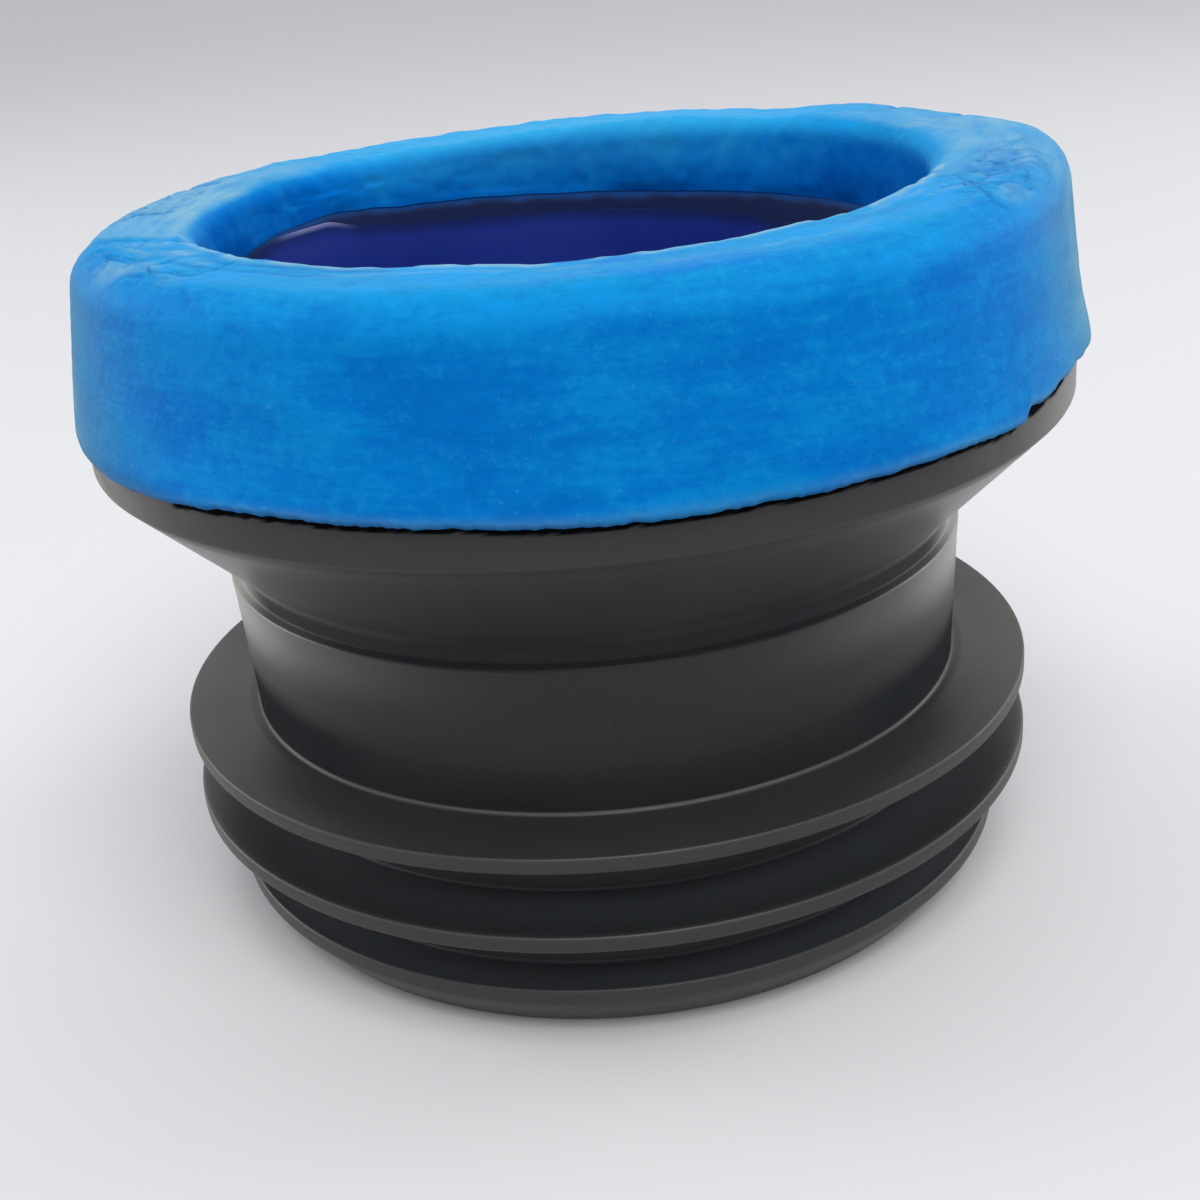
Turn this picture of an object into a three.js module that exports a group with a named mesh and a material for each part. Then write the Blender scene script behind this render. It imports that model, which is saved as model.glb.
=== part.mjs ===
import * as THREE from 'three';

// A toilet flange ring: a black rubber funnel with sealing fins, a plastic liner and a ring of putty.
// Millimetres, +Z up. The origin is on the axis, in the plane of the foot that the ring stands on.

// Sealing fins, which push into the drain pipe
const pipeBore = 110; // inside of the drain pipe that the fins fill
const fullFins = 2;
const finPitch = 9.8;
const finThickness = 2;
const leadFinInset = 4; // the lowest fin is this much smaller in radius, to find the pipe
const leadInHeight = 4.9; // taper from the lowest fin down to the foot
const leadInTaper = 4; // what the taper takes off the radius

// Tube that carries the fins, the bell and the putty
const boreRadius = 42.9;
const tubeWall = 2.9;
const neckLength = 18.3; // plain neck above the top fin
const neckFlare = 0.5; // the neck grows this much in radius on its way up
const neckRootFillet = 0.9;
const neckLip = 0.45; // sharp edge that stands out at the top of the neck
const lipReturn = 0.5; // height of the step behind that edge
const grooveHeight = 2.2; // plain bottom of the groove under the bell
const grooveFillet = 3.2;

// Bell that opens from the neck to an upright rim
const rimRadius = 60.35;
const bellHeight = 14.5; // rise of the bell from the groove to the rim's lower edge
const bellWall = 2.6;
const rimHeight = 7;
const rimRound = 1;
const troughFillet = 1.2;
const collarRise = 10.1; // the tube's own end stands this much above the rim
const collarRound = 0.7;

// Liner, a plastic sleeve inside the tube
const linerWall = 1.6;
const linerLipDrop = 3.1; // its lip stops this much below the tube's end
const linerFootRise = 1.5; // its foot stops this much above the rubber foot
const linerLipRound = 0.5;
const linerGap = 0.3; // between liner and rubber, all round

// Putty laid by hand over the collar, the trough and the rim
const puttyGap = 0.3; // between putty and rubber
const puttyRise = 8.9; // crown above the tube's end
const openingFlare = 0.8; // the mouth is this much wider in radius than the tube
const mouthRound = 2.6;
const puttyOverhang = 1.7; // the skirt stands out this much from the rim
const puttyLean = 3.9; // the outer face leans in this much towards the crown
const shoulderRound = 4;
const skirtDrop = 3.2; // the skirt hangs this much below the top of the rim
const skirtRound = 1.5;
const handWave = 0.4; // how far the hand-laid face wanders
const handWaves = [ // even counts, so the ring repeats across the axis and stays centred
  { count: 2, share: 0.5, turn: 0.6 },
  { count: 6, share: 0.3, turn: -1.2 },
  { count: 10, share: 0.2, turn: 0 },
];

const turnSteps = 64;
const samePoint = 1e-6; // outline points nearer than this are one point

// Heights and radii that follow from the sizes above
const tubeRadius = boreRadius + tubeWall;
const finRadius = pipeBore / 2;
const leadFinRadius = finRadius - leadFinInset;
const footRadius = leadFinRadius - leadInTaper;
const leadFinTop = leadInHeight + finThickness;
const topFinTop = leadFinTop + fullFins * finPitch;
const neckRadius = tubeRadius + neckFlare;
const neckTop = topFinTop + neckLength;
const grooveBottom = neckTop + lipReturn;
const bellBottom = grooveBottom + grooveHeight;
const rimBottom = bellBottom + bellHeight;
const rimTop = rimBottom + rimHeight;
const collarTop = rimTop + collarRise;
const crownHeight = collarTop + puttyRise;

// The bell is a straight cone. Its inner side and the putty on it are parallel to the outer side.
const bellSlope = bellHeight / (rimRadius - tubeRadius);
const bellSecant = Math.hypot(1, bellSlope);
const bellOuterHeight = (radius) => bellBottom + (radius - tubeRadius) * bellSlope;
const bellInnerHeight = (radius) => bellOuterHeight(radius) + bellWall * bellSecant;
const puttySeatHeight = (radius) => bellInnerHeight(radius) + puttyGap * bellSecant;

// A closed outline through corners given as [radius, height, rounding, steps in the rounding].
function roundedOutline(corners) {
  const at = (i) => new THREE.Vector2(...corners.at(i % corners.length).slice(0, 2));
  const points = corners.flatMap(([, , rounding = 0, steps = 3], i) => {
    const corner = at(i);
    if (rounding === 0) return [corner];
    const before = at(i - 1).sub(corner).setLength(rounding).add(corner);
    const after = at(i + 1).sub(corner).setLength(rounding).add(corner);
    return new THREE.QuadraticBezierCurve(before, corner, after).getPoints(steps);
  });
  points.push(points[0].clone());
  return points.filter((point, i) => i === 0 || point.distanceTo(points[i - 1]) > samePoint);
}

function turnedMesh(name, outline, material) {
  const mesh = new THREE.Mesh(new THREE.LatheGeometry(outline, turnSteps), material);
  mesh.name = name;
  mesh.rotation.x = Math.PI / 2; // a lathe turns about Y, and the ring stands along Z
  return mesh;
}

// One fin, from its root on the tube round its edge and back.
function finCorners(topHeight) {
  const underside = topHeight - finThickness;
  return [[tubeRadius, underside], [finRadius, underside], [finRadius, topHeight]];
}

function makeRubberBody() {
  const corners = [
    [boreRadius, 0],
    [footRadius, 0],
    [leadFinRadius, leadInHeight],
    [leadFinRadius, leadFinTop],
  ];
  for (let i = 1; i <= fullFins; i++) {
    corners.push([tubeRadius, leadFinTop + (i - 1) * finPitch]);
    corners.push(...finCorners(leadFinTop + i * finPitch));
  }
  corners.push(
    [tubeRadius, topFinTop, neckRootFillet, 2],
    [neckRadius, neckTop - neckLip],
    [neckRadius + neckLip, neckTop],
    [tubeRadius, grooveBottom],
    [tubeRadius, bellBottom, Math.min(grooveFillet, grooveHeight), 4],
    [rimRadius, rimBottom],
    [rimRadius, rimTop, rimRound, 2],
    [rimRadius - bellWall, rimTop, rimRound, 2],
    [rimRadius - bellWall, bellInnerHeight(rimRadius - bellWall)],
    [tubeRadius, bellInnerHeight(tubeRadius), troughFillet, 2],
    [tubeRadius, collarTop, collarRound, 2],
    [boreRadius, collarTop, collarRound, 2],
  );
  const blackRubber = new THREE.MeshStandardMaterial({ color: 0x35332f, roughness: 0.6, metalness: 0 });
  return turnedMesh('rubber_body', roundedOutline(corners), blackRubber);
}

function makeLiner() {
  const outer = boreRadius - linerGap;
  const inner = outer - linerWall;
  const lip = collarTop - linerLipDrop;
  const corners = [
    [inner, linerFootRise],
    [outer, linerFootRise],
    [outer, lip],
    [inner, lip, linerLipRound, 2],
  ];
  const indigoPlastic = new THREE.MeshStandardMaterial({ color: 0x1c1a70, roughness: 0.25, metalness: 0 });
  return turnedMesh('inner_sleeve', roundedOutline(corners), indigoPlastic);
}

// How far the hand-laid putty stands out at an angle.
function handLaid(angle) {
  const waves = handWaves.map(({ count, share, turn }) => share * Math.cos(count * angle + turn));
  return handWave * waves.reduce((sum, wave) => sum + wave, 0);
}

function makePuttyRing() {
  const rimSide = rimRadius + puttyGap;
  const rimInside = rimRadius - bellWall - puttyGap;
  const collarSide = tubeRadius + puttyGap;
  const skirtRadius = rimRadius + puttyOverhang;
  const skirtHeight = rimTop - skirtDrop;
  const corners = [
    [rimSide, skirtHeight],
    [skirtRadius, skirtHeight, Math.min(skirtRound, puttyOverhang - puttyGap), 2],
    [skirtRadius - puttyLean, crownHeight, shoulderRound, 4],
    [boreRadius + openingFlare, crownHeight, mouthRound, 3],
    [boreRadius, collarTop + puttyGap],
    [collarSide, collarTop + puttyGap],
    [collarSide, puttySeatHeight(collarSide), troughFillet + puttyGap, 2],
    [rimInside, puttySeatHeight(rimInside)],
    [rimInside, rimTop + puttyGap],
    [rimSide, rimTop + puttyGap],
  ];
  const bluePutty = new THREE.MeshStandardMaterial({ color: 0x0a78c4, roughness: 0.7, metalness: 0 });
  const mesh = turnedMesh('putty_ring', roundedOutline(corners), bluePutty);
  // Only the outer face wanders. What seats on the rubber and the crown's level stay true.
  const points = mesh.geometry.getAttribute('position');
  for (let i = 0; i < points.count; i++) {
    const x = points.getX(i);
    const z = points.getZ(i);
    const radius = Math.hypot(x, z);
    const onTheSeat = radius < rimSide + puttyGap && points.getY(i) < rimTop + 2 * puttyGap;
    const share = onTheSeat ? 0 : THREE.MathUtils.smoothstep(radius, rimSide - puttyLean, rimSide);
    const stretch = 1 + (share * handLaid(Math.atan2(z, x))) / radius;
    points.setX(i, x * stretch);
    points.setZ(i, z * stretch);
  }
  mesh.geometry.computeVertexNormals();
  return mesh;
}

const flangeRing = new THREE.Group();
flangeRing.add(makeRubberBody(), makeLiner(), makePuttyRing());

export default flangeRing;
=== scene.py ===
import math
import bmesh
import bpy
from mathutils import Matrix, Vector, noise


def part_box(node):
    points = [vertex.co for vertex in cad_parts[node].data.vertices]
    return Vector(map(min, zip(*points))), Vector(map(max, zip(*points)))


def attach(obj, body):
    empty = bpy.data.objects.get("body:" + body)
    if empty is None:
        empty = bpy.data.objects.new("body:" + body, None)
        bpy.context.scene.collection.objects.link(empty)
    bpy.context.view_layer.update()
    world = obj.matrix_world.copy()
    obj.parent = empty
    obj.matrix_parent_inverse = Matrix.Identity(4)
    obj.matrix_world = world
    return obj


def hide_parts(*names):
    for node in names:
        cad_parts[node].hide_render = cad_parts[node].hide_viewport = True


# A toilet flange ring: finned rubber body, indigo liner and hand-laid blue putty, in metres with +Z up.
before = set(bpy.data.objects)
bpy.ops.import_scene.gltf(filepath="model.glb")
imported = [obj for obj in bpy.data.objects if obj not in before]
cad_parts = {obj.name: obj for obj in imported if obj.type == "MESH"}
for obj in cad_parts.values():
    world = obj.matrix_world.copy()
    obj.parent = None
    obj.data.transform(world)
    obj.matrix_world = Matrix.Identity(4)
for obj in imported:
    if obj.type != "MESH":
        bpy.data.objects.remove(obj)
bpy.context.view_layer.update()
mm = 0.001  # sizes below are in millimetres and are turned into metres as a mesh is made
noise.seed_set(5)  # so that the drift of the finger marks is the same each run
print("frame loaded:", ", ".join(sorted(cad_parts)))


# Shader maths: a number that changes over the surface, with the usual operators
class Field:
    def __init__(self, finish, socket):
        self.finish = finish
        self.socket = socket

    def math(self, operation, first, second=0.0):
        return self.finish.add("ShaderNodeMath", {"operation": operation}, {0: first, 1: second})

    def __add__(self, other): return self.math("ADD", self, other)
    def __radd__(self, other): return self.math("ADD", other, self)
    def __sub__(self, other): return self.math("SUBTRACT", self, other)
    def __rsub__(self, other): return self.math("SUBTRACT", other, self)
    def __mul__(self, other): return self.math("MULTIPLY", self, other)
    def __rmul__(self, other): return self.math("MULTIPLY", other, self)
    def __truediv__(self, other): return self.math("DIVIDE", self, other)
    def __pow__(self, other): return self.math("POWER", self, other)


class Finish:
    def __init__(self, owner):
        owner.use_nodes = True
        self.owner = owner
        self.tree = owner.node_tree
        self.tree.nodes.clear()

    def add(self, kind, settings=None, values=None, out=0):
        node = self.tree.nodes.new(kind)
        for key, value in (settings or {}).items():
            setattr(node, key, value)
        for key, value in (values or {}).items():
            if isinstance(value, Field):
                self.tree.links.new(value.socket, node.inputs[key])
            else:
                node.inputs[key].default_value = value
        return Field(self, node.outputs[out])

    def place(self):
        return self.add("ShaderNodeTexCoord", out="Object")

    def noise(self, vector, scale, detail=3.0, roughness=0.5, distortion=0.0):
        values = {"Vector": vector, "Scale": scale, "Detail": detail, "Roughness": roughness}
        return self.add("ShaderNodeTexNoise", None, {**values, "Distortion": distortion}, "Fac")

    def stretch(self, field, low, high, toLow=0.0, toHigh=1.0):
        values = {"Value": field, "From Min": low, "From Max": high, "To Min": toLow, "To Max": toHigh}
        return self.add("ShaderNodeMapRange", {"interpolation_type": "SMOOTHSTEP"}, values, "Result")

    def blend(self, share, first, second):
        first, second = [colour if isinstance(colour, Field) else (*colour, 1) for colour in (first, second)]
        values = {"Factor": share, 6: first, 7: second}
        return self.add("ShaderNodeMix", {"data_type": "RGBA", "clamp_factor": True}, values, 2)

    def split(self, vector):
        node = self.tree.nodes.new("ShaderNodeSeparateXYZ")
        self.tree.links.new(vector.socket, node.inputs[0])
        return [Field(self, socket) for socket in node.outputs]

    def attribute(self, name):
        return self.add("ShaderNodeAttribute", {"attribute_name": name}, None, "Fac")

    def bump(self, height, depth, normal=None):
        values = {"Height": height, "Distance": depth, "Strength": 1.0}
        if normal:
            values["Normal"] = normal
        return self.add("ShaderNodeBump", None, values, "Normal")

    def skin(self, values, shaded=None, shade=None):
        surface = self.add("ShaderNodeBsdfPrincipled", None, values, "BSDF")
        if shaded:  # a dull surface with no shine of its own, where light hardly reaches
            dull = {"Base Color": shade, "Roughness": 1.0, "Specular IOR Level": 0.0}
            dull = self.add("ShaderNodeBsdfPrincipled", None, dull, "BSDF")
            surface = self.add("ShaderNodeMixShader", None, {0: shaded, 1: surface, 2: dull})
        self.tree.links.new(surface.socket, self.tree.nodes.new("ShaderNodeOutputMaterial").inputs["Surface"])
        return self.owner


# Turned pieces: a section through corners (radius, height, rounding) in millimetres, spun about Z
def roundedSection(corners, roundSteps):
    section = bmesh.new()
    points = [section.verts.new((radius * mm, 0, height * mm)) for radius, height, _ in corners]
    section.faces.new(points)
    for point, (_, _, rounding) in zip(points, corners):
        if rounding:
            bmesh.ops.bevel(
                section, geom=[point], offset=rounding * mm, offset_type="OFFSET", affect="VERTICES",
                segments=roundSteps, profile=0.5, material=-1, clamp_overlap=True,
            )
    bmesh.ops.delete(section, geom=section.faces[:], context="FACES_ONLY")
    return section


def splitLongEdges(section, grain):
    for edge in section.edges[:]:
        cuts = math.ceil(edge.calc_length() / (grain(edge) * mm)) - 1
        if cuts > 0:
            bmesh.ops.subdivide_edges(section, edges=[edge], cuts=cuts)


def spinSection(section, steps, doublings=5):
    turn = math.tau / 2 ** doublings  # a short sector is spun, then copied round, because a long spin is slow
    bmesh.ops.spin(
        section, geom=section.verts[:] + section.edges[:], cent=(0, 0, 0), axis=(0, 0, 1), dvec=(0, 0, 0),
        angle=turn, steps=steps // 2 ** doublings, use_merge=False, use_duplicate=False,
    )
    for _ in range(doublings):
        copy = bmesh.ops.duplicate(section, geom=section.verts[:] + section.edges[:] + section.faces[:])["geom"]
        corners = [item for item in copy if isinstance(item, bmesh.types.BMVert)]
        bmesh.ops.rotate(section, cent=(0, 0, 0), matrix=Matrix.Rotation(turn, 3, "Z"), verts=corners)
        turn *= 2
    bmesh.ops.remove_doubles(section, verts=section.verts[:], dist=1e-6)
    bmesh.ops.recalc_face_normals(section, faces=section.faces[:])


def finishPiece(name, shape, material, node):
    mesh = bpy.data.meshes.new(name)
    shape.to_mesh(mesh)
    shape.free()
    mesh.shade_smooth()
    mesh.set_sharp_from_angle(angle=math.radians(48))
    mesh.materials.append(material)
    piece = bpy.data.objects.new(name, mesh)
    bpy.context.scene.collection.objects.link(piece)
    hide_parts(node)
    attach(piece, "root")
    print(name, "made with", len(mesh.polygons), "faces")
    return piece


def clamp(value, low=0.0, high=1.0):
    return max(low, min(high, value))


def ease(low, high, value):
    share = clamp((value - low) / (high - low))
    return share * share * (3 - 2 * share)


def frontAngle(point):
    return math.degrees(math.atan2(point.x, -point.y))  # 0 at the front, positive to the right


def along(stations, angle):
    for (first, low), (second, high) in zip(stations, stations[1:]):
        if angle <= second:
            return low + (high - low) * ease(first, second, angle)
    return stations[-1][1]


# Rubber body
rubberSizes = {
    "bore": 42.9,
    "tube": 45.8,
    "finRadii": [51.0, 55.0, 55.0],
    "finThickness": 2.0,
    "finPitch": 9.8,
    "finEdgeRound": 0.35,
    "finRoot": 0.5,
    "leadIn": 4.9,
    "foot": 47.0,
    "neckFlare": 0.5,
    "neckLip": 0.45,
    "flareLength": 7.0,
    "neckLength": 18.3,
    "lipReturn": 0.5,
    "grooveHeight": 2.2,
    "grooveFillet": 3.0,
    "bellHeight": 14.5,
    "bellWall": 2.6,
    "rimHeight": 7.0,
    "collarRise": 10.1,
    "collarBend": 5.0,  # how far down the collar its edge is bent up to the putty
    "steps": 384,
    "grain": 5.0,
    "rimGrain": 0.25,
    "finWave": 0.22,  # how far a fin's edge rises and falls
    "skirtHides": 0.75,  # what the putty's edge hides of the rim below it, at the photograph's height
}


def makeRubberBody(material):
    size = rubberSizes
    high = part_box("rubber_body")[1]
    rim = high.x / mm
    collarTop = high.z / mm
    bendFoot = collarTop - size["collarBend"]
    corners = [(size["bore"], 0, 0.4), (size["foot"], 0, 0.6)]
    for i, radius in enumerate(size["finRadii"]):
        top = size["leadIn"] + size["finThickness"] + i * size["finPitch"]
        under = top - size["finThickness"]
        if i > 0:
            corners.append((size["tube"], under, size["finRoot"]))
        corners.append((radius, under, size["finEdgeRound"]))
        corners.append((radius, top, size["finEdgeRound"]))
        corners.append((size["tube"], top, size["finRoot"]))
    neckTop = top + size["neckLength"]
    neck = size["tube"] + size["neckFlare"]
    grooveFoot = neckTop + size["lipReturn"]
    bellFoot = grooveFoot + size["grooveHeight"]
    rimFoot = bellFoot + size["bellHeight"]
    rimTop = rimFoot + size["rimHeight"]
    slope = size["bellHeight"] / (rim - size["tube"])
    inner = lambda radius: bellFoot + (radius - size["tube"]) * slope + size["bellWall"] * math.hypot(1, slope)
    corners += [
        (neck, neckTop - size["flareLength"], 4.0),
        (neck + size["neckLip"], neckTop, 0.3),
        (size["tube"], grooveFoot, 0.2),
        (size["tube"], bellFoot, size["grooveFillet"]),
        (rim, rimFoot, 0.25),
        (rim, rimTop, 1.0),
        (rim - size["bellWall"], rimTop, 1.0),
        (rim - size["bellWall"], inner(rim - size["bellWall"]), 0.3),
        (size["tube"], inner(size["tube"]), 1.2),
        (size["tube"], collarTop, 0.7),
        (size["bore"], collarTop, 0.2),
        (size["bore"], bendFoot, 0),
    ]
    shape = roundedSection(corners, 4)

    def grain(edge):
        onRim = min(vert.co.x for vert in edge.verts) > (rim - 0.01) * mm
        inMouth = min(vert.co.z for vert in edge.verts) > (bendFoot - 0.01) * mm
        return size["rimGrain"] if onRim or inMouth else size["grain"]

    splitLongEdges(shape, grain)
    spinSection(shape, size["steps"])
    paintedGapShadow = shape.verts.layers.float.new("paintedGapShadow")
    residue = shape.verts.layers.float.new("residue")
    edgeWearAndGlint = shape.verts.layers.float.new("edgeWearAndGlint")
    gaps = shape.verts.layers.float.new("gaps")
    smear = shape.verts.layers.float.new("smear")
    edges = []
    for i, radius in enumerate(size["finRadii"]):
        under = size["leadIn"] + i * size["finPitch"]
        edges += [(radius, under + 0.1), (radius, under + size["finThickness"] - 0.1)]
    for point in shape.verts:
        radius = math.hypot(point.co.x, point.co.y) / mm
        height = point.co.z / mm
        reach = clamp((radius - size["tube"] - 1) / 8)
        if reach > 0 and size["leadIn"] - 1 < height < top + 1:
            layer = round((height - size["leadIn"]) / size["finPitch"])
            around = Vector((point.co.x, point.co.y, 0)).normalized() * 1.6 + Vector((0, 0, layer * 7.3))
            point.co.z += size["finWave"] * mm * reach * reach * noise.noise(around)
        toEdge = min(math.hypot(radius - edge - 0.1, height - level) for edge, level in edges)
        # rubbed fin edges, with a painted glint along them
        point[edgeWearAndGlint] = 1 - ease(0.05, 0.4, toEdge)
        # painted shade on the fins' outer tops and painted light deep between the fins
        if height < top - 1.5 and radius > size["tube"] - 0.5:
            point[gaps] = 1 - 0.95 * ease(46.5, 54, radius)
        angle = frontAngle(point.co)
        if radius < size["bore"] + 0.8:
            foot = along(puttyFoot, angle)
            if height > bendFoot - 0.1:  # its edge reaches up to the putty all round
                height += max(0, foot + 0.1 - collarTop) * ease(bendFoot, collarTop - 0.3, height)
                point.co.z = height * mm
            point[smear] = ease(foot - 1.7, foot - 0.2, height + 0.5 * noise.noise(point.co * 300))
        # painted shadow on the rim, just under the putty's ragged edge
        if radius > rim - 1 and height > rimFoot:
            below = along(skirtEdge, angle) + raggedEdge(angle) - height
            width = along(gapShadow, angle)
            if width > 0.05:
                width *= 1 + 0.35 * noise.noise(point.co * 320)
                point[paintedGapShadow] = 1 - ease(width * 0.7, width + 0.05, below - size["skirtHides"])
            speckled = ease(-0.4, 0.3, noise.noise(point.co * 260))
            point[residue] = along(residueBand, angle) * ease(4.6, 0.5, below) * speckled
    return finishPiece("finnedRubberBody", shape, material, "rubber_body")


# where a finish begins and where it is full, in metres
rubberHeights = {
    "foot": (0.0050, 0.0046),
    "fins": (0.0070, 0.0075),
    "finsEnd": (0.0310, 0.0400),
    "topFin": (0.0275, 0.0266),
    "neckRootGlint": (0.0266, 0.0268),
    "neckRootGlintEnd": (0.0269, 0.0271),
    "neckFoot": (0.0267, 0.0271),
    "neckFootEnd": (0.0362, 0.0325),
    "neckSides": (0.0340, 0.0430),
    "neckShine": (0.0370, 0.0430),
    "upperNeck": (0.0365, 0.0445),
    "upperNeckEnd": (0.0460, 0.0450),
    "groove": (0.0447, 0.0449),
    "grooveShade": (0.0466, 0.0456),
    "grooveEnd": (0.0474, 0.0486),
    "onBell": (0.0448, 0.0470),
    "lowerBell": (0.0448, 0.0455),
    "lowerBellEnd": (0.0600, 0.0500),
    "bell": (0.0474, 0.0502),
    "bellShineEnd": (0.0600, 0.0615),
    "rim": (0.0617, 0.0622),
    "rimGlare": (0.0612, 0.0622),
    "collarInside": (0.0700, 0.0740),
}
rubberRadii = {
    "inBore": (0.0434, 0.0430),
    "offTube": (0.0460, 0.0464),
    "atTube": (0.0465, 0.0462),
    "onNeck": (0.0474, 0.0468),
}
rubberColours = {
    "deep": (0.0105, 0.0100, 0.0088),
    "dull": (0.0165, 0.0158, 0.0140),
    "foot": (0.0068, 0.0066, 0.0061),
    # painted light on the fins: cool, lighter on the top fin, a sky reflection towards their ends
    "fins": (0.0145, 0.0160, 0.0175),
    "topFin": (0.0195, 0.0208, 0.0222),
    "finEndReflection": (0.058, 0.050, 0.043),
    "gap": (0.0105, 0.0125, 0.0145),
    "gapTube": (0.043, 0.048, 0.054),
    "gapFin": (0.076, 0.085, 0.095),
    "neckRootGlint": (0.160, 0.166, 0.172),
    # painted glare towards left and right on the bell, rim and neck
    "sideSheen": (0.150, 0.138, 0.118),
    "neckGlare": (0.440, 0.405, 0.350),
    "bell": (0.058, 0.0555, 0.0505),
    "bellGlare": (0.400, 0.375, 0.330),
    "rim": (0.0190, 0.0215, 0.0260),
    "rimGlare": (0.300, 0.286, 0.260),
    "boreTop": (0.003, 0.014, 0.085),
    "dust": (0.100, 0.096, 0.088),
    "edgeWearAndGlint": (0.085, 0.082, 0.076),
    "residue": (0.055, 0.062, 0.045),
    "puttySmear": (0.002, 0.080, 0.320),
    "paintedGapShadow": (0.0010, 0.0015, 0.0025),
    # and where light hardly reaches
    "darkGroove": (0.028, 0.0305, 0.0345),
    "darkLip": (0.033, 0.0365, 0.0420),
    "darkNeckFoot": (0.022, 0.0255, 0.0300),
    "darkGap": (0.0010, 0.0016, 0.0025),
}


def blackRubber():
    finish = Finish(bpy.data.materials.new("blackRubber"))
    tint = rubberColours
    place = finish.place()
    x, y, z = finish.split(place)
    spread = x * x + y * y

    def height(name):
        return finish.stretch(z, *rubberHeights[name])

    def distance(name):
        return finish.stretch(spread, *[radius ** 2 for radius in rubberRadii[name]])

    mottle = finish.noise(place, 60, 4)
    cloud = finish.noise(place, 22, 2)
    grain = finish.noise(place, 1800, 2)
    dust = finish.noise(place, 3200, 1)
    turned = finish.add("ShaderNodeVectorMath", {"operation": "MULTIPLY"}, {0: place, 1: (12, 12, 900)})
    lines = finish.noise(turned, 1, 2)
    gaps, edgeWearAndGlint, residue = finish.attribute("gaps"), finish.attribute("edgeWearAndGlint"), finish.attribute("residue")
    paintedGapShadow, smear = finish.attribute("paintedGapShadow"), finish.attribute("smear")
    onNeck = distance("onNeck")

    # bell, rim and neck: painted glare, paler towards both ends and less so behind, and the bell, which faces down,
    # painted lighter
    across = x * x / spread * finish.stretch(y, 0.034, -0.010, 0.35, 1.0)
    side = finish.stretch(across, 0.35, 0.95)
    ends = finish.stretch(across, 0.50, 0.92) * (0.35 + 0.5 * mottle)
    tips = finish.stretch(across, 0.68, 0.90)
    bell = finish.stretch(z + 0.0010 * mottle, *rubberHeights["bell"])
    upperNeck = height("upperNeck") * height("upperNeckEnd")
    lowerBell = height("lowerBell") * height("lowerBellEnd")
    colour = finish.blend(finish.stretch(mottle, 0.35, 0.7), tint["deep"], tint["dull"])
    colour = finish.blend(bell * 0.75, colour, tint["bell"])
    colour = finish.blend(height("rim") * 0.8, colour, tint["rim"])
    colour = finish.blend(side * height("neckSides") * (0.25 + 0.55 * mottle), colour, tint["sideSheen"])
    colour = finish.blend(ends * height("rimGlare"), colour, tint["rimGlare"])
    colour = finish.blend(ends * upperNeck, colour, tint["neckGlare"])
    colour = finish.blend(tips * lowerBell * (0.35 + 0.5 * mottle), colour, tint["bellGlare"])

    # fins and foot: the fins painted in a cool light, the top fin painted lighter, and a painted sky reflection
    # towards their ends
    fins = height("fins") * (1 - height("finsEnd"))
    finTop = finish.blend(height("topFin"), tint["fins"], tint["topFin"])
    colour = finish.blend(fins * (1 - finish.stretch(across, 0.35, 0.8)), colour, finTop)
    finEndReflection = fins * finish.stretch(across, 0.5, 0.95) * (1 - onNeck)
    colour = finish.blend(finEndReflection * 0.75, colour, tint["finEndReflection"])
    colour = finish.blend(height("foot") * 0.9, colour, tint["foot"])
    # painted shade on the fins' outer tops and painted light deep between the fins
    colour = finish.blend(finish.stretch(gaps, 0.04, 0.12), colour, tint["gap"])
    paintedGapLight = finish.blend(distance("offTube"), tint["gapTube"], tint["gapFin"])
    colour = finish.blend(finish.stretch(gaps, 0.1, 1.0), colour, paintedGapLight)

    # dust, rubbed fin edges with a painted glint along them, a painted highlight where the neck meets the top fin,
    # and what the putty left
    colour = finish.blend(finish.stretch(dust, 0.70, 0.80) * 0.4, colour, tint["dust"])
    colour = finish.blend(edgeWearAndGlint * (0.20 + 0.6 * mottle), colour, tint["edgeWearAndGlint"])
    # painted highlight on the fillet where the neck meets the top fin
    root = (height("neckRootGlint") - height("neckRootGlintEnd")) * distance("atTube")
    root = root * (1 - 0.4 * finish.stretch(across, 0.1, 0.5))
    colour = finish.blend(root * (0.1 + 0.9 * mottle), colour, tint["neckRootGlint"])
    colour = finish.blend(residue, colour, tint["residue"])
    colour = finish.blend(smear, colour, tint["puttySmear"])
    inside = distance("inBore")
    colour = finish.blend(inside * height("collarInside") * (1 - smear), colour, tint["boreTop"])
    # painted shadow on the rim under the putty's edge
    colour = finish.blend(paintedGapShadow, colour, tint["paintedGapShadow"])

    # painted shade in the groove, at the foot of the neck and in the gap under the putty, on a dull surface
    groove = height("groove") - finish.stretch(z + 0.001 * mottle, *rubberHeights["grooveEnd"])
    neckFoot = finish.stretch(z + 0.002 * cloud, *rubberHeights["neckFootEnd"]) * height("neckFoot") * onNeck
    neckFoot = neckFoot * finish.stretch(across, 0.18, 0.55)
    shade = finish.blend(height("grooveShade"), tint["darkGroove"], tint["darkLip"])
    shade = finish.blend(neckFoot, shade, tint["darkNeckFoot"])
    shade = finish.blend(paintedGapShadow, shade, tint["darkGap"])
    shaded = groove * (0.75 - 0.75 * tips) + paintedGapShadow * 0.9 + neckFoot * 0.78

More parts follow.
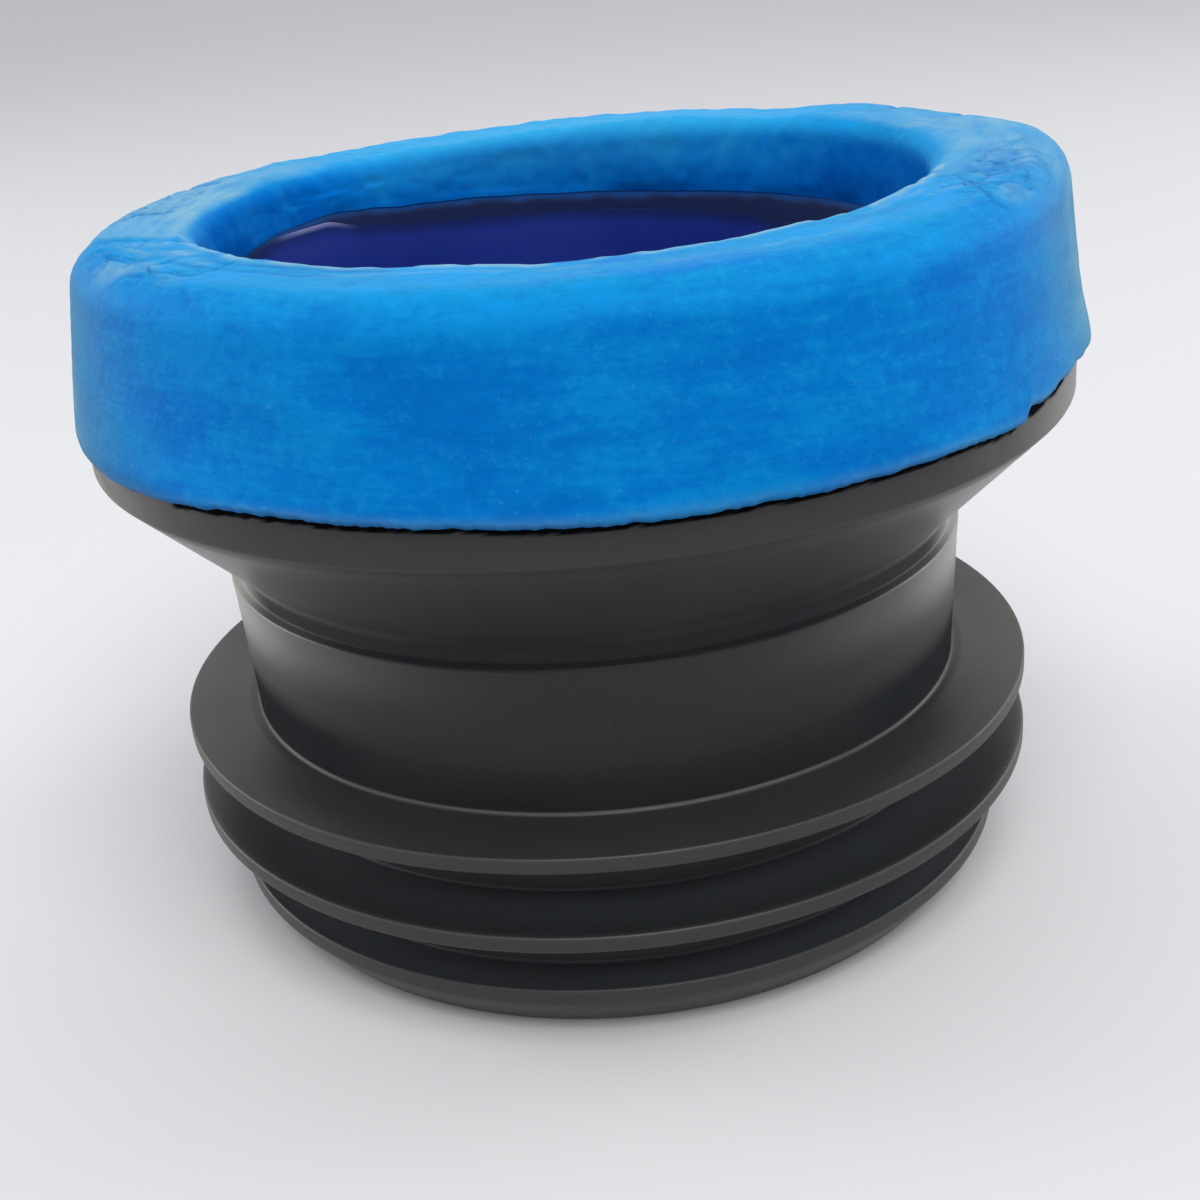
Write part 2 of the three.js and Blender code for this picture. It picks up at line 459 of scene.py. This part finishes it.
    onBell = height("onBell")
    neckShine = finish.stretch(across, 0.0, 0.45) * (1 - onBell) * 0.65
    return finish.skin({
        "Base Color": colour,
        "Roughness": 0.34 + 0.16 * mottle + 0.08 * cloud + 0.35 * paintedGapShadow + 0.45 * inside,
        "Coat Weight": height("neckShine") * (1 - height("bellShineEnd")) * (neckShine + 0.6 * onBell),
        "Coat Roughness": 0.32,
        "IOR": 1.47,
        "Specular Tint": (1.0, 0.97, 0.93, 1),
        "Normal": finish.bump(lines, 0.00003, finish.bump(grain, 0.00002)),
    }, shaded, shade)


# Liner
linerSizes = {"wall": 1.6, "lipRound": 0.12, "lipSlope": 1.0, "steps": 256, "grain": 1.5}

# where its lip stands, round the ring, as (degrees from the front, millimetres): it was pushed in a little askew
linerLip = [
    (-180, 76.5), (-172, 76.6), (-160, 77.1), (-147, 77.9), (-138, 78.9), (-127, 80.7), (-114, 80.9), (-98, 79.6),
    (-60, 77.6), (0, 76.4), (90, 75.0), (133, 74.6), (142, 75.35), (155, 75.8), (172, 76.3), (180, 76.5),
]


def makeLiner(material):
    size = linerSizes
    low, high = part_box("inner_sleeve")
    outer = high.x / mm
    corners = [
        (outer - size["wall"], low.z / mm, 0.3),
        (outer, low.z / mm, 0.3),
        (outer, high.z / mm - size["lipSlope"], 0.3),
        (outer - size["wall"], high.z / mm, size["lipRound"]),
    ]
    shape = roundedSection(corners, 4)
    splitLongEdges(shape, lambda edge: size["grain"])
    spinSection(shape, size["steps"])
    depth = shape.verts.layers.float.new("depth")
    paintedLipGlint = shape.verts.layers.float.new("paintedLipGlint")
    for point in shape.verts:
        height = point.co.z / mm
        point[depth] = high.z / mm - height
        angle = frontAngle(point.co)
        # painted highlight on the lip, at the left
        point[paintedLipGlint] = ease(-136, -127, angle) * (1 - ease(-121, -110, angle))
        lift = along(linerLip, angle) - high.z / mm
        point.co.z += lift * mm * ease(high.z / mm - 14, high.z / mm, height)
    return finishPiece("indigoLiner", shape, material, "inner_sleeve")


linerColours = {
    "deep": (0.011, 0.029, 0.250),
    "light": (0.016, 0.037, 0.290),
    # painted shade under the putty, towards the lip
    "lip": (0.005, 0.015, 0.090),
    "paintedLipGlint": (0.200, 0.220, 0.440),
}


def indigoPlastic():
    finish = Finish(bpy.data.materials.new("indigoPlastic"))
    tint = linerColours
    place = finish.place()
    ripple = finish.noise(place, 90, 2)
    mottle = finish.noise(place, 40, 3)
    depth = finish.attribute("depth")  # millimetres below the lip
    colour = finish.blend(finish.stretch(mottle, 0.35, 0.65), tint["deep"], tint["light"])
    # painted shade on the liner under the putty, darker and duller towards its lip
    colour = finish.blend(1 - finish.stretch(depth + 1.2 * mottle, 0.3, 3.0), colour, tint["lip"])
    # painted highlight on the lip, at the left
    paintedLipGlint = finish.attribute("paintedLipGlint") * finish.stretch(depth + 0.3 * mottle, 0.95, 0.30)
    colour = finish.blend(paintedLipGlint, colour, tint["paintedLipGlint"])
    return finish.skin({
        "Base Color": colour,
        "Roughness": 0.30 + 0.12 * ripple + 0.4 * (1 - finish.stretch(depth, 0.5, 5.0)),
        "Normal": finish.bump(ripple, 0.0001),
    }, finish.stretch(depth, 7.0, 0.6) * 0.65, colour)


# Putty
puttySizes = {
    "gap": 0.3,
    "overhang": 1.7,
    "lean": 3.9,
    "shoulderRound": 4.0,
    "mouth": 43.7,
    "mouthRound": 2.6,
    "skirtDrop": 3.2,
    "skirtRound": 1.0,
    "grain": 0.5,
    "seatGrain": 4.0,
    "steps": 704,
    "slowWave": 0.45,
    "lumps": 0.22,
    "fine": 0.05,
    "crinkle": 0.23,
    "lip": 0.15,  # how far its foot laps over the bore's edge
    "paleFoot": 0.3,
    "farLumps": 0.6,  # how much more uneven its far side is
    "farFine": 2.5,
}

# round the ring, as (degrees from the front, millimetres)
crownLift = [
    (-180, -0.5), (-130, -0.9), (-100, -1.0), (-70, -0.3), (-40, 0), (0, 0),
    (40, 0.1), (70, 0.8), (95, 1.3), (120, 0.8), (150, -0.1), (180, -0.5),
]
skirtEdge = [
    (-180, 66.2), (-140, 65.6), (-110, 64.5), (-90, 63.6), (-72, 64.9), (-58, 65.5), (-48, 65.8), (-41, 66.5),
    (-33, 66.9), (-18, 66.8), (0, 66.3), (34, 66.3), (47.6, 65.8), (48.4, 67.2), (52, 66.9), (56, 67.7),
    (61, 68.0), (78, 67.0), (90, 66.2), (140, 66.0), (180, 66.2),
]
skirtPress = [(-180, 0.2), (-120, 0.6), (-60, 0.8), (-48, 0.6), (-40, 0), (180, 0.2)]
gapShadow = [
    (-180, 0.2), (-120, 0), (-48, 0), (-42, 0.12), (-20, 0.14), (0, 0.12), (40, 0.09),
    (47.6, 0.08), (48.4, 0.9), (58, 1.3), (66, 0.5), (90, 0.15), (180, 0.2),
]
residueBand = [
    (-180, 0), (-75, 0.2), (-60, 0.75), (-48, 0.6), (-38, 0), (30, 0), (43, 0.7), (50, 0.6), (58, 0), (180, 0),
]
puttyFoot = [
    (-180, 78.7), (-172, 79.1), (-160, 79.6), (-148, 80.0), (-140, 80.7), (-132, 81.2), (-118, 80.9), (-105, 80.0),
    (-80, 79.2), (0, 78.9), (100, 78.4), (119, 78.2), (156, 78.2), (180, 78.7),
]

# broad pushes of a palm or thumb: degrees from the front, millimetres along the section, reach, height
pushes = [
    (84, 22.5, 9, 0.9), (88, 5, 6, 0.5), (-88, 20, 8, -0.3), (-150, 38, 7, -0.5), (165, 36, 6, 0.4),
    (-120, 34, 6, 0.5), (140, 37, 6, -0.5), (35, 12, 12, 0.2), (-30, 8, 10, -0.2),
]

# creases and ridges: path of (degrees from the front, millimetres along the section), width, height, paleness
handMarks = [
    ([(-80, 23.5), (-78, 25.4), (-75, 28.8), (-70, 33.0), (-66, 35.6)], 0.38, -0.42, 0.0),
    ([(-82.5, 23.6), (-80, 25.9), (-76.5, 29.9), (-71, 34.0)], 0.6, 0.34, 1.0),
    ([(-71, 25.0), (-63, 26.0), (-55, 25.6), (-46, 26.6)], 0.35, -0.3, 0.0),
    ([(-41, 22.0), (-44, 25.0), (-46, 28.5), (-47, 33.0)], 0.35, -0.2, 0.0),
    ([(-56, 22.0), (-54, 24.0), (-49, 26.0)], 0.3, -0.14, 0.0),
    ([(-68, 31.8), (-61, 31.1), (-53, 31.6)], 1.3, 0.12, 0.8),
    ([(-72, 27.2), (-66, 28.7), (-59, 29.6), (-50, 30.4)], 1.0, 0.1, 0.55),
    ([(60, 33.0), (62, 31.3), (66, 30.0), (70, 28.5), (73, 27.0)], 0.4, -0.22, 0.0),
    ([(54, 31.0), (57, 29.0), (62, 28.5), (66, 30.0)], 0.35, -0.18, 0.0),
    ([(60, 31.0), (58, 29.7), (54, 26.5), (50, 23.4), (52, 21.5)], 0.35, -0.15, 0.0),
    ([(70, 31.0), (76, 29.0), (80, 26.0)], 0.35, -0.18, 0.0),
    ([(88, 28.6), (82, 27.6), (75, 26.6), (69, 25.2)], 1.8, 0.12, 1.0),
    ([(62, 30.2), (56, 29.6), (50, 30.6)], 0.6, 0.15, 0.6),
    ([(58, 33.8), (50, 32.6), (42, 32.8), (30, 33.4)], 0.6, 0.12, 0.5),
    ([(121, 27.0), (123, 24.5)], 0.6, -0.4, 0.0),
    ([(107, 26.2), (109, 23.5)], 0.6, -0.35, 0.0),
    ([(95, 24.5), (97, 21.5)], 0.6, -0.35, 0.0),
    ([(-98, 30), (-96, 22)], 0.8, -0.3, 0.0),
    ([(-118, 28), (-115, 23)], 0.8, -0.3, 0.0),
    # a low ridge along the near mouth edge, with a painted highlight along it
    ([(-72, 34.6), (-55, 34.1), (-30, 33.8), (0, 33.7), (30, 33.8), (55, 34.1), (67, 34.5)], 0.5, 0.2, 1.6),
    ([(-30, 31.0), (-15, 31.6), (2, 31.2)], 0.8, 0.05, 0.35),
    ([(10, 29.0), (22, 28.2), (36, 28.8)], 0.8, 0.05, 0.3),
    ([(-52, 29.2), (-40, 30.6), (-28, 30.8)], 0.4, -0.08, 0.0),
    ([(-52, 31.8), (-38, 33.0), (-22, 33.2)], 0.35, -0.07, 0.0),
]
foldLine = [(0, -74), (18, -80), (23.5, -81), (25.4, -79), (28.8, -76), (33, -71), (36, -67)]  # millimetres, degrees
crinkleZones = [(-61, 27, 22, 6.5), (63, 27, 19, 7.0), (-105, 26, 16, 6.0)]  # degrees, millimetres, half spans

# chalky bloom with a painted sheen over it, left and right, as spans over which it comes or goes
chalkAndSheenZone = {
    "rightStart": (52, 78),  # degrees from the front
    "leftEnd": (118, 142),
    "rightEnd": (112, 135),
    "wallFade": (80, 98),
    "wallTop": (17, 23),  # millimetres along the section
    "mouth": (34.5, 36),
    "wallThins": 0.75,
    "leftStrength": 1.1,
    "rightStrength": 0.85,
}


def raggedEdge(angle):
    turn = math.radians(angle)
    place = Vector((math.cos(turn), math.sin(turn), 0))
    return 0.22 * noise.noise(place * 24) + 0.16 * noise.noise(place * 75)


def measureRun(section, start):
    run = section.verts.layers.float.new("run")
    first = min(section.verts, key=lambda vert: (vert.co - start).length)
    here = first
    edge = max(here.link_edges, key=lambda link: link.other_vert(here).co.x)
    length = 0.0
    while True:
        length += edge.calc_length() / mm
        here = edge.other_vert(here)
        if here is first:
            return run
        here[run] = length
        edge = next(link for link in here.link_edges if link is not edge)


def markDistance(angle, run, radius, path):
    best = 99.0
    for (firstAngle, firstRun), (secondAngle, secondRun) in zip(path, path[1:]):
        span = Vector(((secondAngle - firstAngle) * radius, secondRun - firstRun))
        here = Vector(((angle - firstAngle) * radius, run - firstRun))
        share = clamp(here.dot(span) / span.dot(span))
        best = min(best, (here - span * share).length)
    return best


def markReaches():
    reaches = []
    for path, width, height, paleness in handMarks:
        angles = [angle for angle, _ in path]
        places = [place for _, place in path]
        margin = width * 2.5 + 1
        reaches.append((min(angles) - margin, max(angles) + margin, min(places) - margin, max(places) + margin))
    return reaches


def sideChalkAndSheen(angle, place, around):
    left = angle < 0
    turned = abs(angle)
    if left:
        share = ease(-22 + 0.9 * min(place, 23), 3, along(foldLine, place) - angle)
    else:
        share = ease(*chalkAndSheenZone["rightStart"], angle)
    share *= 1 - ease(*chalkAndSheenZone["leftEnd" if left else "rightEnd"], turned)
    share *= 1 - ease(*chalkAndSheenZone["mouth"], place)
    onWall = ease(*chalkAndSheenZone["wallFade"], turned) * (1 - ease(*chalkAndSheenZone["wallTop"], place))
    share *= 1 - chalkAndSheenZone["wallThins"] * onWall
    cloud = ease(-0.35, 0.35, noise.noise(around * 5 + Vector((0, 0, place * 0.09))))
    return share * (0.55 + 0.45 * cloud) * chalkAndSheenZone["leftStrength" if left else "rightStrength"]


def sculptPutty(shape, run, skirtFoot, seenEnd):
    size = puttySizes
    shape.normal_update()
    pale = shape.verts.layers.float.new("pale")
    paintedCreaseShade = shape.verts.layers.float.new("paintedCreaseShade")
    crackle = shape.verts.layers.float.new("crackle")
    reaches = markReaches()
    moves = []
    for point in shape.verts:
        place = point[run]
        if place > seenEnd + 1:
            continue
        angle = frontAngle(point.co)
        turn = math.radians(angle)
        radius = math.hypot(point.co.x, point.co.y) / mm
        around = Vector((math.cos(turn), math.sin(turn), 0))
        farSide = ease(100, 140, abs(angle))
        lumps = size["lumps"] * (1 + size["farLumps"] * farSide)
        fine = size["fine"] * (1 + size["farFine"] * farSide)
        height = size["slowWave"] * noise.noise(around * 2.2 + Vector((0, 0, place * 0.03)))
        height += lumps * noise.noise(around * 6 + Vector((5, 0, place * 0.11)))
        height += fine * noise.noise(around * 24 + Vector((0, 9, place * 0.5)))
        for pushAngle, pushRun, reach, push in pushes:
            across = ((angle - pushAngle + 180) % 360 - 180) * radius * math.pi / 180
            away = (across * across + (place - pushRun) ** 2) / (reach * reach)
            if away < 6:  # further off it is too small to see
                height += push * math.exp(-away)

        # marks of fingers, on paths that drift a little
        # pleat: where a fold is darkened with painted shade
        pleat = 0.0
        patch = 0.0
        crackled = 0.0
        drift = noise.noise_vector(around * 13 + Vector((0, 4, place * 0.3)))
        markAngle = angle + 1.1 * drift.x
        markPlace = place + 0.7 * drift.y
        for (low, high, near, far), (path, width, rise, paleness) in zip(reaches, handMarks):
            if low < angle < high and near < place < far:
                share = math.exp(-(markDistance(markAngle, markPlace, math.radians(radius), path) / width) ** 2)
                share *= ease(-0.45, 0.05, drift.z)
                height += rise * share
                patch = max(patch, paleness * share)
                pleat = max(pleat, share if rise < 0 else 0)
        for zoneAngle, zonePlace, zoneHalf, placeHalf in crinkleZones:
            zone = 1 - math.hypot((angle - zoneAngle) / zoneHalf, (place - zonePlace) / placeHalf)
            if zone > 0:
                web = around * 17 + Vector((3, 0, place * 0.34))
                line = max(0, 1 - 5 * abs(noise.noise(web + 0.35 * noise.noise_vector(web * 2.3))))
                line *= ease(0, 0.5, zone)
                crackled = ease(0, 0.6, zone)
                height -= size["crinkle"] * line
                pleat = max(pleat, 0.35 * line)
                patch = max(patch, crackled * ease(0.0, 0.45, noise.noise(web * 0.55)) * 0.75)
        # chalky bloom with a painted sheen, left and right
        patch = max(patch, sideChalkAndSheen(angle, place, around))
        point[pale] = max(patch, size["paleFoot"] * math.exp(-((place - 1.5) / 0.7) ** 2))
        point[paintedCreaseShade] = pleat
        point[crackle] = crackled

        # where crown, skirt and inner foot stand round the ring
        seen = ease(0, 1.4, place) * (1 - ease(seenEnd - 1.2, seenEnd, place))
        lift = along(crownLift, angle) * ease(8, 22, place) * (1 - ease(38, 43, place))
        edge = (along(skirtEdge, angle) - skirtFoot) * (1 - ease(1.5, 9, place))
        edge += raggedEdge(angle) * (1 - ease(1.2, 3, place))
        edge += (along(puttyFoot, angle) - puttyFoot[-1][1]) * ease(seenEnd - 8, seenEnd, place)
        press = along(skirtPress, angle) * (1 - ease(0.6, 3.5, place)) * ease(0, 0.8, place)
        inward = -press * Vector((around.y, -around.x, 0))
        moves.append((point, point.normal * height * seen + Vector((0, 0, lift + edge)) + inward))
    for point, move in moves:
        point.co += move * mm


def makePutty(material):
    size = puttySizes
    body = rubberSizes
    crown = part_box("putty_ring")[1].z / mm
    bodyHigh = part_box("rubber_body")[1]
    rim = bodyHigh.x / mm
    collarTop = bodyHigh.z / mm
    rimTop = collarTop - body["collarRise"]
    skirtFoot = rimTop - size["skirtDrop"]
    gap = size["gap"]
    slope = body["bellHeight"] / (rim - body["tube"])
    bellFoot = rimTop - body["rimHeight"] - body["bellHeight"]
    seat = lambda radius: bellFoot + (radius - body["tube"]) * slope + (body["bellWall"] + gap) * math.hypot(1, slope)
    rimSide = rim + gap
    rimInside = rim - body["bellWall"] - gap
    collarSide = body["tube"] + gap
    skirt = rim + size["overhang"]
    corners = [
        (rimSide, skirtFoot, 0),
        (skirt, skirtFoot, size["skirtRound"]),
        (skirt - size["lean"], crown, size["shoulderRound"]),
        (size["mouth"], crown, size["mouthRound"]),
        (body["bore"] - size["lip"], puttyFoot[-1][1], 0),
        (body["bore"] - size["lip"] / 3, collarTop + size["lip"], 0),
        (collarSide, collarTop + size["lip"], 0),
        (collarSide, seat(collarSide), 1.5),
        (rimInside, seat(rimInside), 0),
        (rimInside, rimTop + gap, 0),
        (rimSide, rimTop + gap, 0),
    ]
    shape = roundedSection(corners, 8)

    def grain(edge):
        middle = (edge.verts[0].co + edge.verts[1].co) / 2 / mm
        hidden = middle.x < rimSide + 0.1 and middle.z < rimTop + 0.5 or abs(middle.x - collarSide) < 0.1
        return size["seatGrain"] if hidden else size["grain"]

    splitLongEdges(shape, grain)
    run = measureRun(shape, Vector((rimSide, 0, skirtFoot)) * mm)
    footCorner = Vector((body["bore"] - size["lip"], 0, puttyFoot[-1][1])) * mm
    seatCorner = min(shape.verts, key=lambda vert: (vert.co - footCorner).length)
    seenEnd = seatCorner[run]
    print("putty section seen for", round(seenEnd, 2), "mm of its outline")
    spinSection(shape, size["steps"])
    sculptPutty(shape, run, skirtFoot, seenEnd)
    return finishPiece("handLaidPutty", shape, material, "putty_ring")


# where a finish begins and where it is full, in metres
puttySpans = {
    "crown": (0.0655, 0.0725),
    "sideSheen": (0.040, 0.060),
    "mouth": (0.0455, 0.0440),  # from the axis
    "mouthTop": (0.0880, 0.0850),
    "mouthFoot": (0.0845, 0.0795),
    "mouthEnds": (0.022, 0.038),
}
puttyColours = {
    "wall": (0.0, 0.190, 0.620),
    "crown": (0.003, 0.250, 0.535),
    "light": (0.002, 0.272, 0.690),
    "dark": (0.0, 0.142, 0.550),
    "sideSheen": (0.060, 0.275, 0.410),
    "lightSpeck": (0.020, 0.340, 0.740),
    "darkSpeck": (0.0, 0.110, 0.440),
    "farCrownGlare": (0.030, 0.350, 0.660),
    # painted shade down in the mouth
    "mouth": (0.0, 0.145, 0.560),
    "mouthFoot": (0.0, 0.076, 0.340),
    "chalkAndSheen": (0.170, 0.375, 0.520),
    "fleck": (0.060, 0.330, 0.600),
    "paintedCreaseShade": (0.001, 0.130, 0.400),
}


def bluePutty():
    finish = Finish(bpy.data.materials.new("bluePutty"))
    span, tint = puttySpans, puttyColours
    place = finish.place()
    x, y, z = finish.split(place)
    radius = (x * x + y * y) ** 0.5

    def streaks(level, upright, detail):  # noise drawn out round the ring, on wall and crown alike
        stretched = {0: x * level, 1: y * level, 2: (z - radius) * upright}
        return finish.noise(finish.add("ShaderNodeCombineXYZ", None, stretched), 1, detail, 0.6)

    smear = streaks(45, 150, 4)
    stroke = streaks(150, 900, 3)
    cloud = finish.noise(place, 70, 4)
    blotch = finish.noise(place, 170, 4, 0.6)
    speck = finish.noise(place, 700, 4, 0.65)
    fleck = finish.noise(place, 1500, 1)
    grain = finish.noise(place, 1400, 3)
    tone = 0.36 * smear + 0.22 * cloud + 0.16 * blotch + 0.10 * speck + 0.16 * stroke
    crown = finish.stretch(z - 0.3 * radius, *span["crown"])
    # painted sheen, greyer towards both ends of the wall
    near, far = span["sideSheen"]
    side = finish.stretch(x * x, near ** 2, far ** 2) * finish.stretch(y, 0.034, -0.010, 0.3, 1.0)
    # painted light: the crown lighter and greener than the wall, as light falls from above
    colour = finish.blend(crown, tint["wall"], tint["crown"])
    colour = finish.blend(finish.stretch(tone, 0.48, 0.57) * 0.6, colour, tint["light"])
    colour = finish.blend(finish.stretch(tone, 0.50, 0.42) * 0.5, colour, tint["dark"])
    colour = finish.blend(side * (1 - crown) * (0.35 + 0.7 * cloud), colour, tint["sideSheen"])
    colour = finish.blend(finish.stretch(speck, 0.54, 0.66) * 0.15, colour, tint["lightSpeck"])
    colour = finish.blend(finish.stretch(speck, 0.46, 0.34) * 0.15, colour, tint["darkSpeck"])
    # painted glare on the far crown
    colour = finish.blend(finish.stretch(y, 0.02, 0.05) * crown * 0.8, colour, tint["farCrownGlare"])

    # painted shade down in the mouth, deeper at its two ends and towards its foot, on a duller surface
    near, far = span["mouthEnds"]
    ends = finish.stretch(x * x, near ** 2, far ** 2)
    inner = finish.stretch(radius, *span["mouth"]) * finish.stretch(z, *span["mouthTop"])
    inner = inner * finish.stretch(blotch, 0.36, 0.60, 0.70, 1.12)
    deep = 0.55 * finish.stretch(z, *span["mouthFoot"]) + 0.4 * ends
    colour = finish.blend(inner * (0.5 + 0.4 * ends), colour, tint["mouth"])
    colour = finish.blend(inner * deep, colour, tint["mouthFoot"])

    # chalky bloom with a painted sheen, flecks, and painted shade in the creases and fine cracks
    pale, paintedCreaseShade, crackle = finish.attribute("pale"), finish.attribute("paintedCreaseShade"), finish.attribute("crackle")
    chalkStreaks = finish.stretch(streaks(110, 420, 4), 0.32, 0.66)
    colour = finish.blend(pale * (0.40 + 0.55 * chalkStreaks), colour, tint["chalkAndSheen"])
    web = finish.noise(place, 170, 1, 0.5, 0.3) - 0.5
    cracks = crackle * finish.stretch(web * web, 0.0010, 0.0)
    colour = finish.blend(finish.stretch(fleck, 0.72, 0.82) * 0.3, colour, tint["fleck"])
    colour = finish.blend(paintedCreaseShade * 0.62 + cracks * 0.35, colour, tint["paintedCreaseShade"])
    return finish.skin({
        "Base Color": colour,
        "Roughness": 0.48 + 0.2 * smear + 0.15 * pale,
        "IOR": 1.115,
        "Sheen Weight": 0.045,
        "Sheen Roughness": 0.3,
        "Sheen Tint": (0.75, 0.85, 1.0, 1),
        "Normal": finish.bump(grain, 0.00005, finish.bump(tone, 0.0003, finish.bump(1 - cracks, 0.00012))),
    }, inner * 0.75, colour)


# Camera at the photograph's viewing angle
photoView = {
    "pixels": 1200,
    "sensor": 36,
    "focalPixels": 1731.4,
    "distance": 0.21174,  # from the ring's axis, measured level
    "height": 0.12374,
    "pitch": 23.32,  # degrees below level
    "lean": 5.03,  # the photograph is turned by this much
}


def makeCamera():
    view = photoView
    lens = bpy.data.cameras.new("photoCamera")
    lens.sensor_width = view["sensor"]
    lens.lens = lens.sensor_width * view["focalPixels"] / view["pixels"]
    lens.clip_start = 0.01
    camera = bpy.data.objects.new("photoCamera", lens)
    tilt = Matrix.Rotation(math.radians(90 - view["pitch"]), 4, "X")
    roll = Matrix.Rotation(math.radians(-view["lean"]), 4, "Z")
    camera.matrix_world = Matrix.Translation((0, -view["distance"], view["height"])) @ tilt @ roll
    bpy.context.scene.collection.objects.link(camera)
    bpy.context.scene.camera = camera
    print("camera lens", round(lens.lens, 2), "mm")


# Floor and light
studio = {
    "floorSize": 8.0,
    "floorSeen": (0.66, 0.66, 0.67),
    "floorBounce": (0.30, 0.30, 0.30),
    "frontSky": (0.42, 0.42, 0.43),
    "backSky": (0.95, 0.96, 1.0),
    "aim": (0, 0, 0.05),
    "lamps": [
        # name, place, size, watts
        ("frontSoftbox", (0.10, -0.55, 0.90), 0.7, 6.5),
        ("leftSoftbox", (-0.85, 0.30, 0.30), 0.5, 2.4),
        ("rightSoftbox", (0.85, 0.30, 0.30), 0.5, 2.4),
    ],
}


def makeFloor():
    shape = bmesh.new()
    bmesh.ops.create_grid(shape, x_segments=1, y_segments=1, size=studio["floorSize"] / 2)
    mesh = bpy.data.meshes.new("paleFloor")
    shape.to_mesh(mesh)
    shape.free()
    finish = Finish(bpy.data.materials.new("paleFloor"))
    straight, mirrored = [finish.add("ShaderNodeLightPath", out=ray) for ray in ("Is Camera Ray", "Is Glossy Ray")]
    material = finish.skin({
        "Base Color": finish.blend(straight + mirrored, studio["floorBounce"], studio["floorSeen"]),
        "Roughness": 0.9,
        "Specular IOR Level": 0.0,
    })
    mesh.materials.append(material)
    floor = bpy.data.objects.new("paleFloor", mesh)
    bpy.context.scene.collection.objects.link(floor)


def makeLight():
    world = bpy.data.worlds.new("studio")
    bpy.context.scene.world = world
    sky = Finish(world)
    depth = sky.split(sky.add("ShaderNodeTexCoord", out="Generated"))[1]
    shade = sky.blend(sky.stretch(depth, -0.7, 0.35), studio["frontSky"], studio["backSky"])
    background = sky.add("ShaderNodeBackground", None, {"Color": shade}, "Background")
    sky.tree.links.new(background.socket, sky.tree.nodes.new("ShaderNodeOutputWorld").inputs["Surface"])
    for name, place, size, watts in studio["lamps"]:
        lamp = bpy.data.lights.new(name, "AREA")
        lamp.shape = "DISK"
        lamp.size = size
        lamp.energy = watts
        holder = bpy.data.objects.new(name, lamp)
        aim = Vector(studio["aim"]) - Vector(place)
        holder.matrix_world = Matrix.Translation(place) @ aim.to_track_quat("-Z", "Y").to_matrix().to_4x4()
        bpy.context.scene.collection.objects.link(holder)
    bpy.context.scene.view_settings.view_transform = "Standard"
    print("studio lit by", len(studio["lamps"]), "lamps")


makeCamera()
makeRubberBody(blackRubber())
makeLiner(indigoPlastic())
makePutty(bluePutty())
makeFloor()
makeLight()
